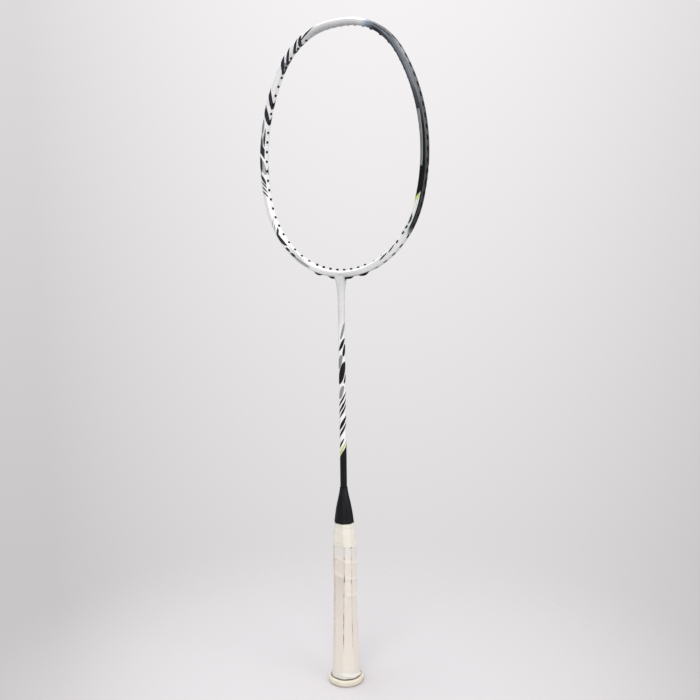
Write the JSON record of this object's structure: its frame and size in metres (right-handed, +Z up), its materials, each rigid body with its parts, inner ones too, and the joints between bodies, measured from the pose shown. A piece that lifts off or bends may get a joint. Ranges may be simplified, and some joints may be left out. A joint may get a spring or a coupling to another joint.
{
  "type": "badminton racket",
  "caption": "Unstrung badminton racket: hollow painted carbon head with a string channel and grommets, slim round shaft, cone cap and wrapped octagonal handle.",
  "frame": {"origin": "middle of the butt's flat end", "axes": "+Z up the shaft to the top of the head, X across the head in the plane of the strings, Y square to that plane"},
  "size_m": [0.1998, 0.037, 0.675],
  "materials": {
    "frame_paint": "gloss lacquer over carbon fibre, white with black and grey slashes",
    "shaft_paint": "gloss lacquer over carbon fibre, white above and black below",
    "insert_plastic": "moulded, hidden",
    "cone_plastic": "satin black moulding",
    "collar_wrap": "thin cream polyurethane wrap",
    "handle_wood": "light hardwood, unvarnished, hidden",
    "tape": "double-sided tape, hidden",
    "grip_wrap": "worn cream polyurethane grip",
    "staple_steel": "flat steel wire, hidden",
    "butt_plastic": "satin cream moulding",
    "badge_plastic": "blank disc",
    "grommet_black": "moulded nylon",
    "grommet_white": "moulded nylon"
  },
  "bodies": {
    "root": {"adhesive_tape": "tape", "butt_badge": "badge_plastic", "butt_cap": "butt_plastic", "collar_tape": "collar_wrap", "cone_cap": "cone_plastic", "grip_staple": "staple_steel", "grip_wrap": "grip_wrap", "grommet_pair_05": "grommet_black", "grommet_pair_06": "grommet_black", "grommet_pair_07": "grommet_black", "grommet_pair_08": "grommet_black", "grommet_pair_09": "grommet_black", "grommet_pair_10": "grommet_black", "grommet_pair_11": "grommet_black", "grommet_pair_12": "grommet_black", "grommet_pair_13": "grommet_black", "grommet_pair_14": "grommet_black", "grommet_pair_15": "grommet_black", "grommet_pair_16": "grommet_black", "grommet_pair_17": "grommet_black", "grommet_pair_18": "grommet_black", "grommet_pair_19": "grommet_black", "grommet_pair_20": "grommet_black", "grommet_pair_21": "grommet_black", "grommet_pair_22": "grommet_black", "grommet_pair_23": "grommet_black", "grommet_pair_24": "grommet_black", "grommet_pair_25": "grommet_black", "grommet_pair_26": "grommet_black", "grommet_pair_27": "grommet_black", "grommet_pair_28": "grommet_black", "grommet_pair_29": "grommet_black", "grommet_pair_30": "grommet_black", "grommet_pair_31": "grommet_white", "grommet_pair_32": "grommet_white", "grommet_pair_33": "grommet_white", "grommet_pair_34": "grommet_white", "handle_core": "handle_wood", "head_frame": "frame_paint", "shaft": "shaft_paint", "t_joint": "insert_plastic", "throat_grommets_1_2": "grommet_black", "throat_grommets_3_4": "grommet_black"}
  },
  "joints": []
}
